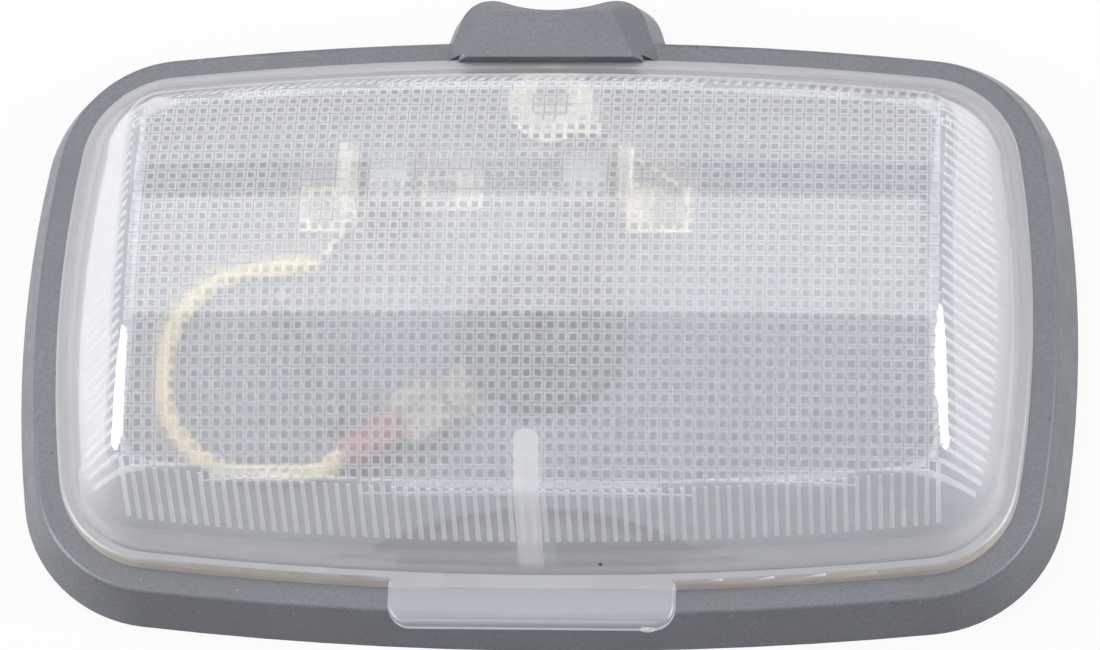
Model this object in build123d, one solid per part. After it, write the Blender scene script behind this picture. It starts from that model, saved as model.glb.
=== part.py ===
from build123d import *
import math
import os

os.makedirs("parts", exist_ok=True)

# Base outline at the flange front: four bowed sides with rounded corners
base_half_length = 67.2
base_half_width = 40.1
side_arc_radius = 157.0
long_arc_radius = 482.0
corner_radius = 16.2
smallest_corner = 0.2

# Base section
flange_z = 6.5
flank_flare = 2.8
flange_edge_radius = 0.6
base_wall = 1.8
floor_z = 1.8
tray_inset = 6.6
tray_draft = 1.0
rib_thickness = 1.4
long_rib_x = (12.0, 40.0)
end_rib_y = (0.0, 20.0)

# Ear: the raised hook that holds the lens ledge down
ear_height = 4.0
ear_face_half_widths = (11.8, 8.2)
ear_foot_half_widths = (15.2, 11.4)
ear_back_half_widths = (17.2, 12.9)
ear_face_reach = 2.8
ear_foot_reach = 6.1
ear_back_reach = 8.2
ear_face_y = base_half_width + ear_face_reach
ear_foot_y = base_half_width + ear_foot_reach
ear_back_y = base_half_width + ear_back_reach
ear_face_corner = 1.2
ear_foot_corner = 4.0
ear_back_corner = 5.5
ear_root_depth = 2.5
lip_inset = 3.8
lip_edge_y = base_half_width - lip_inset
scoop_radius = 10.4
scoop_depth = 2.9
scoop_blend = 2.6
hook_gap = 0.2
hook_play = 0.35
hook_relief = 0.4
hook_relief_half_width = 34.0

# Lens
lens_wall = 1.8
rim_inset = 3.2
rim_height = 2.3
rim_edge_radius = 0.7
ledge_width = 1.5
wall_lean = 0.4925
crown_height = 22.8
crown_radius_across = 60.6
crown_radius_along = 1200.0
shoulder_radius = 3.2

# Pull tab, fin and corner pads of the lens
tab_half_width = 18.5
tab_reach = 2.2
tab_root_inset = 4.8
tab_edge_y = -base_half_width - tab_reach
tab_root_y = -base_half_width + tab_root_inset
tab_thickness = 1.9
tab_corner = 3.0
tab_edge_radius = 0.6
fin_thickness = 2.4
fin_inset = 19.0
fin_knee_inset = 14.2
fin_inner_y = -base_half_width + fin_inset
fin_knee_y = -base_half_width + fin_knee_inset
fin_knee_z = 9.0
fin_foot_z = 3.0
pad_size = (3.0, 2.6)
pad_height = 0.8
pad_insets = (17.0, 15.2)
pad_centre = (base_half_length - pad_insets[0], base_half_width - pad_insets[1])

# Catch of the base: upright wall behind the lens and the bowed wall before it
catch_half_width = 18.0
catch_height = 5.8
catch_thickness = 1.5
catch_gap = 0.45
catch_slot_half_width = 2.7
bow_half_chord = 21.4
bow_foot_inset = 10.4
bow_rise = 5.4
bow_foot_y = -base_half_width + bow_foot_inset
bow_crown_y = bow_foot_y + bow_rise
bow_thickness = 1.3
bow_top_z = 4.6
hook_slot_x = 23.6
hook_slot_size = (4.7, 2.0)
hook_slot_inset = 8.9
hook_slot_y = -base_half_width + hook_slot_inset

# Fixing boss with its eyelet
boss_inset = 8.3
boss_y = base_half_width - boss_inset
boss_radius = 6.8
boss_top_z = 4.8
eyelet_flange_radius = 5.8
eyelet_seat_radius = 6.0
eyelet_flange_thickness = 0.5
eyelet_barrel_radius = 3.2
eyelet_bore_radius = 2.75
eyelet_recess = 0.3

# Festoon bulb, left of the middle of the lamp
bulb_x = -7.2
bulb_spacing = 14.1
bulb_y = boss_y - bulb_spacing
bulb_z = 10.5
bulb_length = 36.0
cap_length = 8.0
cap_radius = 4.25
cap_tip_radius = 1.1
cap_cone_length = 2.6
cap_wall = 0.25
glass_radius = 5.2
glass_wall = 0.5
neck_length = 4.0
neck_taper = 2.4
filament_radius = 0.3
filament_half_length = 4.5
filament_drop = 1.6
lead_radius = 0.22
lead_slope = 2.0

# Bulb contacts
strip_thickness = 0.5
contact_width = 6.4
contact_foot_length = 8.6
contact_top_z = 14.6
contact_hole_radius = 2.1
contact_flare = 1.6
rivet_radius = 1.5
rivet_head_radius = 2.2
rivet_head_height = 0.8
rivet_tail_radius = 2.2
rivet_tail_seat = 2.5
rivet_offset = 5.6
earth_tab_width = 2.4
tongue_length = 15.4
tongue_width = 6.2
tongue_shift = 2.4
tongue_hole_radius = 1.9
tongue_hole_inset = 5.4

# Cable grommet in the middle of the floor
grommet_radius = 10.7
grommet_top_thickness = 1.8
grommet_neck_radius = 9.0
grommet_tail_radius = 10.2
grommet_tail_thickness = 0.8
grommet_tail_gap = 0.3
grommet_nose_radii = (7.2, 4.8)
grommet_nose_height = 2.6
grommet_bore_radius = 1.6

# Feed wire, its terminal and the blade it plugs on
wire_radius = 1.2
core_radius = 0.6
solder_radii = (1.5, 1.2, 1.3)
solder_gap = 0.4
wire_z = floor_z + wire_radius
wire_loop_inset = 17.0
wire_loop_x = -base_half_length + wire_loop_inset
wire_top_drop = 8.3
wire_corner_drop = 10.7
wire_top = (-30.6, bulb_y - wire_top_drop)
wire_corner_top = (wire_loop_x, bulb_y - wire_corner_drop)
wire_corner_low = (wire_loop_x, -20.0)
wire_bend_low = (-29.6, -20.0)
wire_bend_radius = 12.8
wire_turn_radius = 5.0
terminal_angle = 31.6
terminal_z = 4.2
sleeve_start = (-25.6, -17.54)
sleeve_length = 8.4
sleeve_radius = 2.2
sleeve_bore = 1.55
wire_seat = 1.2
spade_length = 4.8
spade_width = 7.4
spade_thickness = 0.4
blade_width = 6.3
blade_thickness = 0.8
blade_reach = 4.2
blade_foot_length = 5.0
guide_rib_thickness = 1.2
guide_rib_top_z = 5.6
guide_rib_drops = (12.5, 23.5, 31.1)
guide_rib_x = (-35.2, -28.8, -26.9)
guide_rib_arc = [(x, bulb_y - drop) for x, drop in zip(guide_rib_x, guide_rib_drops)]


def outline(offset, z):
    """Bowed rectangle, parallel to the flange front outline, as a face at height z."""
    side_centre = Vector(base_half_length - side_arc_radius, 0)
    long_centre = Vector(0, base_half_width - long_arc_radius)
    corner_arc = max(corner_radius + offset, smallest_corner)
    side_reach = side_arc_radius + offset - corner_arc
    long_reach = long_arc_radius + offset - corner_arc
    between = long_centre - side_centre
    span = between.length
    along = (side_reach**2 - long_reach**2 + span**2) / (2 * span)
    across = math.sqrt(side_reach**2 - along**2)
    unit = between.normalized()
    corner = side_centre + unit * along + Vector(-unit.Y, unit.X) * across
    to_side = (corner - side_centre).normalized()
    to_long = (corner - long_centre).normalized()
    to_mid = (to_side + to_long).normalized()
    side_end = corner + to_side * corner_arc
    mid = corner + to_mid * corner_arc
    long_end = corner + to_long * corner_arc
    half_x = base_half_length + offset
    half_y = base_half_width + offset

    def flip(point, sx, sy):
        return (point.X * sx, point.Y * sy, z)

    edges = [ThreePointArc(flip(side_end, 1, -1), (half_x, 0, z), flip(side_end, 1, 1))]
    edges.append(ThreePointArc(flip(side_end, 1, 1), flip(mid, 1, 1), flip(long_end, 1, 1)))
    edges.append(ThreePointArc(flip(long_end, 1, 1), (0, half_y, z), flip(long_end, -1, 1)))
    edges.append(ThreePointArc(flip(long_end, -1, 1), flip(mid, -1, 1), flip(side_end, -1, 1)))
    edges.append(ThreePointArc(flip(side_end, -1, 1), (-half_x, 0, z), flip(side_end, -1, -1)))
    edges.append(ThreePointArc(flip(side_end, -1, -1), flip(mid, -1, -1), flip(long_end, -1, -1)))
    edges.append(ThreePointArc(flip(long_end, -1, -1), (0, -half_y, z), flip(long_end, 1, -1)))
    edges.append(ThreePointArc(flip(long_end, 1, -1), flip(mid, 1, -1), flip(side_end, 1, -1)))
    return make_face(edges)


def tapered(offset_low, z_low, offset_high, z_high):
    """Solid between two parallel outlines."""
    return loft([outline(offset_low, z_low), outline(offset_high, z_high)], ruled=True)


def block(x_range, y_range, z_range):
    """Box given by its limits."""
    size = [high - low for low, high in (x_range, y_range, z_range)]
    centre = [(low + high) / 2 for low, high in (x_range, y_range, z_range)]
    return Pos(*centre) * Box(*size)


def disc(x, y, radius, z_low, z_high):
    """Upright cylinder between two heights."""
    return Pos(x, y, (z_low + z_high) / 2) * Cylinder(radius, z_high - z_low)


def trapezoid(half_widths, y_inner, y_outer, corner, z):
    """Ear section: wide at the lens, narrow outside, with rounded outer corners."""
    wide, narrow = half_widths
    points = [(-wide, y_inner), (wide, y_inner), (narrow, y_outer), (-narrow, y_outer)]
    face = make_face(Polyline(*points, close=True))
    face = fillet(face.vertices().sort_by(Axis.Y)[2:], corner)
    return Pos(0, 0, z) * face


def side_profile(points, half_width):
    """Plate across X from a closed outline of (y, z) points."""
    face = make_face(Polyline(*[(0, y, z) for y, z in points], close=True))
    return extrude(face, half_width, dir=(1, 0, 0), both=True)


def floor_wall(line, thickness, z_top):
    """Upright wall along a line in plan, rooted in the floor."""
    return Pos(0, 0, floor_z / 2) * extrude(trace(line, thickness), z_top - floor_z / 2)


# Base: flared skirt round a tray, hollow behind the flange
skirt = tapered(flank_flare, 0, 0, flange_z)
skirt = fillet(skirt.edges().group_by(Axis.Z)[-1], flange_edge_radius)
tray_floor_inset = tray_inset + tray_draft
tray = tapered(-tray_floor_inset, floor_z, -tray_inset + tray_draft / 4, flange_z + 1)
channel_top = flange_z - base_wall
channel = tapered(flank_flare - base_wall, 0, -base_wall, channel_top)
channel -= tapered(base_wall - tray_floor_inset, 0, base_wall - tray_inset, channel_top)
beyond = base_half_length + base_half_width
ribs = Part()
for x in long_rib_x:
    for side in (-1, 1):
        rib_x = (side * x - rib_thickness / 2, side * x + rib_thickness / 2)
        ribs += block(rib_x, (-beyond, beyond), (0, channel_top))
for y in end_rib_y:
    for side in (-1, 1) if y else (1,):
        rib_y = (side * y - rib_thickness / 2, side * y + rib_thickness / 2)
        ribs += block((-beyond, beyond), rib_y, (0, channel_top))
base = skirt - tray - (channel - ribs)

# Ear on the flange, its finger scoop and the pocket for the lens ledge
ear_face_z = flange_z + ear_height
hook_pocket_y = base_half_width - rim_inset + hook_play
ear_root_y = hook_pocket_y - ear_root_depth
ear_face = trapezoid(ear_face_half_widths, ear_root_y, ear_face_y, ear_face_corner, ear_face_z)
ear_foot = trapezoid(ear_foot_half_widths, ear_root_y, ear_foot_y, ear_foot_corner, flange_z)
ear_back = trapezoid(ear_back_half_widths, ear_root_y, ear_back_y, ear_back_corner, 0)
ear = loft([ear_back, ear_foot], ruled=True) + loft([ear_foot, ear_face], ruled=True)
ear -= disc(0, ear_foot_y - scoop_depth + scoop_radius, scoop_radius, -1, ear_face_z + 1)
scoop_edges = ear.edges().filter_by(lambda e: e.center().Y > ear_face_y)
scoop_edges = scoop_edges.filter_by(lambda e: e.bounding_box().size.Z > flange_z - 0.1)
scoop_edges = scoop_edges.filter_by(lambda e: abs(e.center().X) < scoop_radius)
ear = fillet(scoop_edges, scoop_blend)
ear -= block((-beyond, beyond), (0, lip_edge_y), (-1, ear_face_z + 1))
ear -= block((-beyond, beyond), (0, hook_pocket_y), (flange_z, flange_z + rim_height + hook_gap))
ear -= block((-beyond, beyond), (0, hook_pocket_y), (-1, channel_top))
base += ear
relief_y = (base_half_width - tray_inset - 1, base_half_width)
relief_x = (-hook_relief_half_width, hook_relief_half_width)
relief = extrude(outline(hook_play - rim_inset, flange_z - hook_relief), hook_relief)
base -= relief & block(relief_x, relief_y, (0, beyond))

# Fixing boss with the eyelet seat
base += disc(0, boss_y, boss_radius, 0, boss_top_z)
base -= disc(0, boss_y, eyelet_seat_radius, boss_top_z, flange_z)
base -= disc(0, boss_y, eyelet_barrel_radius, -1, boss_top_z + 1)

# Catch wall, parallel to the lens wall in front of it
wall_offset = lens_wall * math.hypot(1, wall_lean)
foot_inset = rim_inset + ledge_width
lens_inner_y = -(base_half_width - foot_inset - wall_offset)
catch_foot_y = lens_inner_y + catch_gap - wall_lean * (rim_height + flange_z - floor_z)
catch_top_z = flange_z + catch_height
catch_top_y = lens_inner_y + catch_gap + wall_lean * (catch_height - rim_height)
catch_points = [(catch_foot_y, floor_z - 1), (catch_top_y, catch_top_z)]
catch_points += [(catch_top_y + catch_thickness, catch_top_z)]
catch_points += [(catch_foot_y + 4 * catch_thickness, floor_z - 1)]
catch = side_profile(catch_points, catch_half_width)
catch -= block((-catch_slot_half_width, catch_slot_half_width), (-beyond, 0), (0, beyond))
catch = catch & tapered(-tray_floor_inset + tray_draft, floor_z - 1, -2 * tray_inset, catch_top_z + 1)
base += catch

# Bowed wall on the floor and the two hook slots beside its feet
bow_arc = ThreePointArc((-bow_half_chord, bow_foot_y), (0, bow_crown_y), (bow_half_chord, bow_foot_y))
base += floor_wall(bow_arc, bow_thickness, bow_top_z)
for side in (-1, 1):
    slot_x = (side * hook_slot_x - hook_slot_size[0] / 2, side * hook_slot_x + hook_slot_size[0] / 2)
    slot_y = (hook_slot_y - hook_slot_size[1] / 2, hook_slot_y + hook_slot_size[1] / 2)
    base -= block(slot_x, slot_y, (-1, floor_z + 1))

# Curved rib that guides the wire loop
guide_arc = ThreePointArc(*guide_rib_arc)
base += floor_wall(guide_arc, guide_rib_thickness, guide_rib_top_z)

# Holes for the grommet and the rivets
base -= disc(0, 0, grommet_neck_radius, -1, floor_z + 1)
base -= disc(0, 0, grommet_tail_radius + grommet_tail_gap, -1, grommet_tail_thickness)
cone_slope = (cap_radius - cap_tip_radius) / cap_cone_length
contact_x = bulb_length / 2 - (contact_hole_radius - cap_tip_radius) / cone_slope
contact_rivet_x = contact_x + strip_thickness + rivet_offset
terminal_plane = Plane(origin=(*sleeve_start, 0), x_dir=Vector(1, 0, 0).rotate(Axis.Z, terminal_angle))
blade_start = sleeve_length + spade_length - blade_reach
blade_foot_start = blade_start + blade_reach + 1.5 * blade_thickness
blade_rivet_x = blade_foot_start + blade_foot_length / 2 + 0.2
blade_rivet = terminal_plane.from_local_coords((blade_rivet_x, 0, 0))
rivet_spots = [(bulb_x - contact_rivet_x, bulb_y), (bulb_x + contact_rivet_x, bulb_y)]
rivet_spots += [(blade_rivet.X, blade_rivet.Y)]
for x, y in rivet_spots:
    base -= disc(x, y, rivet_radius, -1, floor_z + 1)
    base -= disc(x, y, rivet_tail_seat, -1, rivet_head_height)

# Lens: domed crown on leaning walls, with the ledge that rests on the flange
ledge_z = flange_z + rim_height
crown_z = flange_z + crown_height


def lens_block(shell, z_low):
    """Outer body of the lens, or the space inside it when shell is the wall thickness."""
    foot = -(foot_inset + shell * math.hypot(1, wall_lean))
    z_high = crown_z - shell
    low = foot + wall_lean * (ledge_z - z_low)
    high = foot - wall_lean * (z_high - ledge_z)
    body = tapered(low, z_low, high, z_high)
    across = crown_radius_across - shell
    half_span = base_half_width
    edge_z = z_high - across + math.sqrt(across**2 - half_span**2)
    arch = ThreePointArc((0, -half_span, edge_z), (0, 0, z_high), (0, half_span, edge_z))
    sill = Polyline((0, half_span, edge_z), (0, half_span, 0), (0, -half_span, 0), (0, -half_span, edge_z))
    axis_z = z_high - crown_radius_along + shell
    turn = math.degrees(2 * base_half_length / crown_radius_along)
    section = make_face([arch, *sill.edges()]).rotate(Axis((0, 0, axis_z), (0, 1, 0)), -turn / 2)
    crown = revolve(section, Axis((0, 0, axis_z), (0, 1, 0)), revolution_arc=turn)
    return body & crown


lens_outer = lens_block(0, ledge_z)
shoulder = lens_outer.edges().filter_by(lambda e: e.center().Z > flange_z + 12)
shoulder = shoulder.filter_by(lambda e: e.bounding_box().min.Z > ledge_z + 5)
lens_outer = fillet(shoulder, shoulder_radius)
ledge = extrude(outline(-rim_inset, flange_z), rim_height)
ledge = fillet(ledge.edges().group_by(Axis.Z)[-1], rim_edge_radius)
lens_void = lens_block(lens_wall, flange_z - 0.5)
lens = lens_outer + ledge - lens_void

# Fin, corner pads and pull tab
fin_points = [(fin_inner_y, crown_z), (fin_inner_y, flange_z + fin_knee_z)]
fin_points += [(fin_knee_y, flange_z + fin_foot_z), (-base_half_width, flange_z + fin_foot_z)]
fin_points += [(-base_half_width, crown_z)]
fin = side_profile(fin_points, fin_thickness / 2) & lens_outer
pad_void = Pos(0, 0, -pad_height) * lens_void
pads = []
for side in (-1, 1):
    pad_x = (side * pad_centre[0] - pad_size[0] / 2, side * pad_centre[0] + pad_size[0] / 2)
    pad_y = (pad_centre[1] - pad_size[1] / 2, pad_centre[1] + pad_size[1] / 2)
    pad = block(pad_x, pad_y, (ledge_z, crown_z)) - pad_void
    pads.append(pad & lens_outer)
lens += [fin, *pads]
tab_face = Rectangle(2 * tab_half_width, tab_root_y - tab_edge_y, align=(Align.CENTER, Align.MIN))
tab_face = fillet(tab_face.vertices().sort_by(Axis.Y)[:2], tab_corner)
tab = Pos(0, tab_edge_y, ledge_z - tab_thickness) * extrude(tab_face, tab_thickness)
tab_rim = tab.edges().filter_by(lambda e: e.bounding_box().size.Z < 0.01)
tab_rim = tab_rim.filter_by(lambda e: e.center().Y < tab_root_y - 0.1)
lens += fillet(tab_rim, tab_edge_radius)

# Eyelet, clamped over the ring of the earth contact
eyelet_seat_z = boss_top_z + strip_thickness
eyelet = disc(0, boss_y, eyelet_flange_radius, eyelet_seat_z, eyelet_seat_z + eyelet_flange_thickness)
eyelet = fillet(eyelet.edges().group_by(Axis.Z)[-1], eyelet_flange_thickness * 0.8)
eyelet += disc(0, boss_y, eyelet_barrel_radius, eyelet_recess, eyelet_seat_z)
eyelet -= disc(0, boss_y, eyelet_bore_radius, -1, flange_z)


def bulb_cap(side):
    """Metal end cap with a cone tip, hollow over the glass end."""
    inner = bulb_length / 2 - cap_length
    shoulder_x = bulb_length / 2 - cap_cone_length
    points = [(inner, 0), (inner, cap_radius), (shoulder_x, cap_radius)]
    points += [(bulb_length / 2, cap_tip_radius), (bulb_length / 2, 0)]
    cap = revolve(make_face(Polyline(*points, close=True)), Axis.X)
    cap = fillet(cap.edges().filter_by(GeomType.CIRCLE).sort_by(Axis.X)[1:], 0.3)
    bore_depth = cap_length - cap_cone_length - cap_wall
    bore = Pos(inner + bore_depth / 2, 0, 0) * Rot(0, 90, 0) * Cylinder(cap_radius - cap_wall, bore_depth)
    cap -= bore
    if side < 0:
        cap = cap.mirror(Plane.YZ)
    return Pos(bulb_x, bulb_y, bulb_z) * cap


# Bulb glass: barrel with necked ends inside the caps
neck_radius = cap_radius - cap_wall
neck_x = bulb_length / 2 - cap_length
seal_x = neck_x + neck_length
barrel_x = neck_x - neck_taper


def glass_body(shrink):
    """Turned envelope, or the space inside it when shrink is the glass thickness."""
    lower = Polyline((-barrel_x, glass_radius - shrink), (barrel_x, glass_radius - shrink))
    right = Spline((barrel_x, glass_radius - shrink), (neck_x, neck_radius - shrink),
                   tangents=[(1, 0), (1, 0)])
    left = Spline((-neck_x, neck_radius - shrink), (-barrel_x, glass_radius - shrink),
                  tangents=[(1, 0), (1, 0)])
    end = seal_x - shrink
    ends = Polyline((neck_x, neck_radius - shrink), (end, neck_radius - shrink), (end, 0),
                    (-end, 0), (-end, neck_radius - shrink), (-neck_x, neck_radius - shrink))
    face = make_face([*lower.edges(), right, left, *ends.edges()])
    return revolve(face, Axis.X)


bulb_glass = Pos(bulb_x, bulb_y, bulb_z) * (glass_body(0) - glass_body(glass_wall))

# Filament on its two lead wires, which end on the inner side of the glass
coil_length = 2 * filament_half_length
filament = Pos(0, 0, -filament_drop) * Rot(0, 90, 0) * Cylinder(filament_radius, coil_length)
lead_end = seal_x - glass_wall
for side in (-1, 1):
    path = Polyline((side * filament_half_length, 0, -filament_drop),
                    (side * (filament_half_length + lead_slope), 0, 0),
                    (side * lead_end, 0, 0))
    start = Plane(origin=path @ 0, z_dir=path % 0)
    filament += sweep(start * Circle(lead_radius), path=path, transition=Transition.ROUND)
filament = Pos(bulb_x, bulb_y, bulb_z) * filament


def bulb_contact(side):
    """Brass spring strip: riveted foot, upright leaf with the cap hole, flared top."""
    face_x = contact_x
    out_x = face_x + strip_thickness
    half = contact_width / 2
    leaf = block((face_x, out_x), (bulb_y - half, bulb_y + half), (floor_z, contact_top_z))
    foot_x = (face_x, out_x + contact_foot_length)
    foot = block(foot_x, (bulb_y - half, bulb_y + half), (floor_z, floor_z + strip_thickness))
    flare_points = [(face_x, contact_top_z), (out_x, contact_top_z)]
    flare_points += [(out_x + contact_flare, contact_top_z + contact_flare)]
    flare_points += [(out_x + contact_flare - strip_thickness, contact_top_z + contact_flare)]
    flare = make_face(Polyline(*[(x, 0, z) for x, z in flare_points], close=True))
    flare = Pos(0, bulb_y, 0) * extrude(flare, half, dir=(0, 1, 0), both=True)
    contact = leaf + foot + flare
    contact -= Pos(face_x, bulb_y, bulb_z) * Rot(0, 90, 0) * Cylinder(contact_hole_radius, 4)
    contact -= disc(contact_rivet_x, bulb_y, rivet_radius, 0, 4)
    if side < 0:
        contact = contact.mirror(Plane.YZ)
    return Pos(bulb_x, 0, 0) * contact


# Feed contact: the left leaf with a flat tongue, holed near its end, under the bulb
tongue_x = (bulb_x - contact_x - strip_thickness, bulb_x - contact_x + tongue_length)
tongue_mid_y = bulb_y + tongue_shift
tongue_y = (tongue_mid_y - tongue_width / 2, tongue_mid_y + tongue_width / 2)
tongue = block(tongue_x, tongue_y, (floor_z, floor_z + strip_thickness))
tongue = fillet(tongue.edges().filter_by(Axis.Z).sort_by(Axis.X)[2:], 1.0)
contact_left = bulb_contact(-1) + tongue
contact_left -= disc(tongue_x[1] - tongue_hole_inset, tongue_mid_y, tongue_hole_radius, 0, flange_z)

# Earth contact: the right leaf with a strip on edge to the ring under the eyelet
strip_end = Vector(bulb_x + contact_rivet_x + 1.5, bulb_y + contact_width / 2 - 1.0, 0)
strip_run = strip_end - Vector(0, boss_y, 0)
strip_plane = Plane(origin=(0, boss_y, 0), x_dir=strip_run)
half_tab = earth_tab_width / 2
strip_u = boss_radius + 0.4
tab_u = (0, strip_u + strip_thickness)
earth_tab = block(tab_u, (-half_tab, half_tab), (boss_top_z, eyelet_seat_z))
edge_y = (-strip_thickness / 2, strip_thickness / 2)
edge_strip = block((strip_u, strip_run.length), edge_y, (floor_z, eyelet_seat_z))
earth_strip = strip_plane.location * (earth_tab + edge_strip)
earth_strip += disc(0, boss_y, eyelet_flange_radius - 0.3, boss_top_z, eyelet_seat_z)
contact_right = bulb_contact(1) + earth_strip
contact_right -= disc(0, boss_y, eyelet_barrel_radius, 0, flange_z)

# Rivets through the contact feet and the blade foot
rivets = Part()
for x, y in rivet_spots:
    foot_top = floor_z + (strip_thickness if y == bulb_y else blade_thickness)
    head = disc(x, y, rivet_head_radius, foot_top, foot_top + rivet_head_height)
    head = fillet(head.edges().group_by(Axis.Z)[-1], rivet_head_height * 0.8)
    shank = disc(x, y, rivet_radius, 0, foot_top)
    tail = disc(x, y, rivet_tail_radius, 0, rivet_head_height)
    rivets += head + shank + tail

# Blade on the floor and the spade with its sleeve at the wire end
blade_half = blade_width / 2
blade_low_z = terminal_z - blade_thickness / 2
blade_y = (-blade_half, blade_half)
blade_high_z = blade_low_z + blade_thickness
blade = block((blade_start, blade_foot_start), blade_y, (blade_low_z, blade_high_z))
riser_x = (blade_foot_start - blade_thickness, blade_foot_start)
blade += block(riser_x, blade_y, (floor_z, blade_high_z))
blade_foot_x = (blade_foot_start - blade_thickness, blade_foot_start + blade_foot_length)
blade += block(blade_foot_x, blade_y, (floor_z, floor_z + blade_thickness))
blade -= disc(blade_rivet_x, 0, rivet_radius, 0, 9)
blade = chamfer(blade.edges().filter_by(Axis.Z).sort_by(Axis.X)[:2], 1.0)
feed_blade = terminal_plane.location * blade

spade_x = (sleeve_length, sleeve_length + spade_length)
spade_half = spade_width / 2
spade_low_z = blade_low_z - spade_thickness
spade = block(spade_x, (-spade_half, spade_half), (spade_low_z, blade_low_z))
for side in (-1, 1):
    cheek_y = sorted((side * spade_half, side * (spade_half - spade_thickness)))
    curl_y = sorted((side * spade_half, side * 1.1))
    spade += block(spade_x, cheek_y, (spade_low_z, blade_high_z + spade_thickness))
    spade += block(spade_x, curl_y, (blade_high_z, blade_high_z + spade_thickness))
barrel_length = sleeve_length - 2.0
barrel_centre = Pos(sleeve_length - barrel_length / 2, 0, terminal_z) * Rot(0, 90, 0)
barrel = barrel_centre * (Cylinder(sleeve_bore, barrel_length) - Cylinder(core_radius, sleeve_length))
spade += barrel
spade_root_x = (sleeve_length - 1.0, sleeve_length)
spade += block(spade_root_x, (-sleeve_bore, sleeve_bore), (spade_low_z, terminal_z - core_radius))
spade_terminal = terminal_plane.location * spade

sleeve = Pos(sleeve_length / 2, 0, terminal_z) * Rot(0, 90, 0) * Cylinder(sleeve_radius, sleeve_length)
sleeve = fillet(sleeve.edges().filter_by(GeomType.CIRCLE), 0.35)
sleeve -= Pos(sleeve_length / 2, 0, terminal_z) * Rot(0, 90, 0) * Cylinder(sleeve_bore, 2 * sleeve_length)
sleeve -= block(spade_root_x, (-sleeve_bore, sleeve_bore), (0, terminal_z))
spade_sleeve = terminal_plane.location * sleeve

# Feed wire: one run from the left contact foot round the loop into the terminal
wire_end = terminal_plane.from_local_coords((wire_seat, 0, terminal_z))
wire_points = [(*wire_top, wire_z), (*wire_corner_top, wire_z), (*wire_corner_low, wire_z)]
wire_points += [(*wire_bend_low, wire_z), wire_end]
wire_path = FilletPolyline(*wire_points, radius=[wire_bend_radius, wire_bend_radius, wire_turn_radius])
wire_start = Plane(origin=wire_path @ 0, z_dir=wire_path % 0)
feed_wire = sweep(wire_start * Circle(wire_radius), path=wire_path)

# Bare core at both ends of the wire, one solder bead over its upper end
core_tip_x = bulb_x - contact_x - strip_thickness - solder_gap - solder_radii[0]
core_tip = (core_tip_x, bulb_y - contact_width / 2 + solder_radii[1])
core_top_path = Line((*wire_top, wire_z), (*core_tip, floor_z + strip_thickness + core_radius))
core_top_plane = Plane(origin=core_top_path @ 0, z_dir=core_top_path % 0)
core_top = sweep(core_top_plane * Circle(core_radius), path=core_top_path)
core_low_length = sleeve_length - wire_seat
core_low_place = Pos(wire_seat + core_low_length / 2, 0, terminal_z) * Rot(0, 90, 0)
core_low = terminal_plane.location * core_low_place * Cylinder(core_radius, core_low_length)
wire_core = core_top + core_low - feed_wire
solder = Pos(*core_tip, floor_z + strip_thickness) * scale(Sphere(1.0), by=solder_radii)
solder -= block((-beyond, beyond), (-beyond, beyond), (-beyond, floor_z + strip_thickness))
solder -= wire_core

# Grommet: flange on the floor, neck through it, nose with the cable bore
grommet = disc(0, 0, grommet_radius, floor_z, floor_z + grommet_top_thickness)
grommet = fillet(grommet.edges().group_by(Axis.Z)[-1], 0.6)
nose_z = floor_z + grommet_top_thickness
nose = Pos(0, 0, nose_z + grommet_nose_height / 2) * Cone(*grommet_nose_radii, grommet_nose_height)
grommet += fillet(nose.edges().group_by(Axis.Z)[-1], 0.6)
grommet += disc(0, 0, grommet_neck_radius, 0, floor_z)
grommet += disc(0, 0, grommet_tail_radius, 0, grommet_tail_thickness)
grommet -= disc(0, 0, grommet_bore_radius, -1, nose_z + 2 * grommet_nose_height)

nodes = {
    "base_housing": base,
    "lens": lens,
    "fixing_eyelet": eyelet,
    "bulb_cap_left": bulb_cap(-1),
    "bulb_cap_right": bulb_cap(1),
    "bulb_glass": bulb_glass,
    "bulb_filament": filament,
    "contact_left": contact_left,
    "contact_right": contact_right,
    "rivets": rivets,
    "feed_blade": feed_blade,
    "spade_terminal": spade_terminal,
    "spade_sleeve": spade_sleeve,
    "feed_wire": feed_wire,
    "wire_core": wire_core,
    "solder_bead": solder,
    "cable_grommet": grommet,
}
for name, shape in nodes.items():
    export_step(shape, f"parts/{name}.step")
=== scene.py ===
import math
import random

import bmesh
import bpy
from bpy.props import FloatProperty, FloatVectorProperty, IntProperty, PointerProperty
from mathutils import Euler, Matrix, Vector


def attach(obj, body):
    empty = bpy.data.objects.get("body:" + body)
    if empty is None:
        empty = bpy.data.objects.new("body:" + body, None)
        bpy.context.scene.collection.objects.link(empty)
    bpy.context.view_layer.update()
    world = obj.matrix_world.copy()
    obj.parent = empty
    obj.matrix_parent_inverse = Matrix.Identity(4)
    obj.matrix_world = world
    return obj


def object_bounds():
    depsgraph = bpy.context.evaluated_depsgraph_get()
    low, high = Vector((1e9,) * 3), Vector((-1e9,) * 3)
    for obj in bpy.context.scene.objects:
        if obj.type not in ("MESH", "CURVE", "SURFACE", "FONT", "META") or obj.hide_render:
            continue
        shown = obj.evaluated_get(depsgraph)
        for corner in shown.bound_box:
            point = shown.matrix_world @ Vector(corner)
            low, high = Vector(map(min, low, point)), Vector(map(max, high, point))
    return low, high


bl_info = {
    "name": "Car dome light",
    "version": (1, 0, 0),
    "blender": (4, 5, 0),
    "location": "3D View > Sidebar > Dome light",
    "description": "Finishes, prism cells, flutes and studio for a car's interior dome light",
    "category": "Object",
}

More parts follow.
